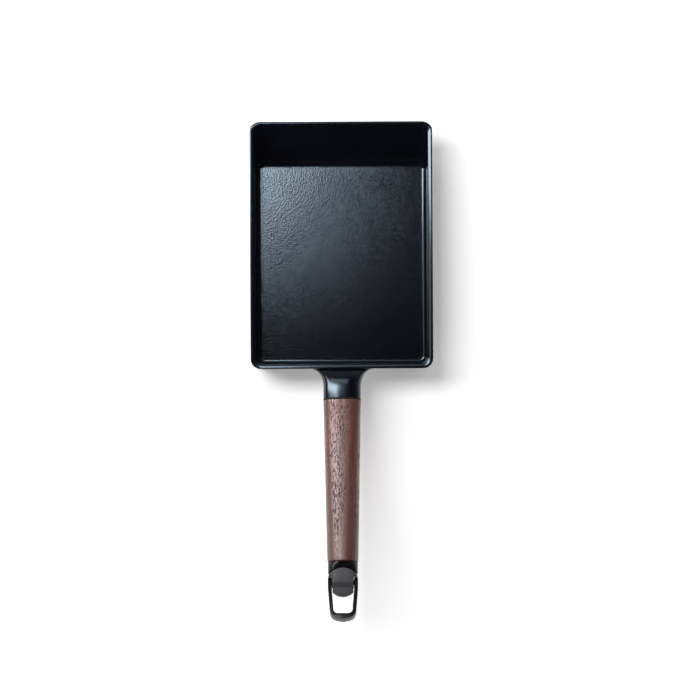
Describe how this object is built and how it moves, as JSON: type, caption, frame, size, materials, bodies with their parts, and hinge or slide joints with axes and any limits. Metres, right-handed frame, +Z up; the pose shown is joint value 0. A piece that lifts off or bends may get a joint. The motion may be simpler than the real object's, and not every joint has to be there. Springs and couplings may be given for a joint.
{
  "type": "tamagoyaki pan",
  "caption": "Oblong cast-iron egg pan with upright walls and a sloping far wall, a cast neck, a rising walnut grip and a strap ring that swings on the end knob for hanging.",
  "frame": {"origin": "middle of the flat base, on the surface that the pan stands on", "axes": "+Z up, +Y from the handle towards the sloping far wall, +X to the right seen from the handle"},
  "size_m": [0.146, 0.3945, 0.087],
  "materials": {
    "enamelled_iron": "black enamel, fine-grained on the floor and satin on the walls",
    "walnut": "oiled walnut",
    "black_metal": "satin black paint on steel",
    "grey_metal": "matt dark grey paint on cast metal",
    "steel": "plain steel",
    "gasket": "matt black",
    "washer": "matt black"
  },
  "bodies": {
    "pan": {"pan_body": "enamelled_iron", "neck_gasket": "gasket", "grip": "walnut", "tie_rod": "steel", "dowel": "steel", "end_ferrule": "black_metal", "end_knob": "grey_metal", "ring_pin": "steel", "ring_washer_left": "washer", "ring_washer_right": "washer"},
    "ring": {"hanging_ring": "black_metal"}
  },
  "joints": [
    {"name": "ring_hinge", "type": "hinge", "parent": "pan", "child": "ring", "pos_m": [0, -0.25237, 0.06761], "axis": [1, 0, 0], "range_deg": [-70, 98]}
  ]
}
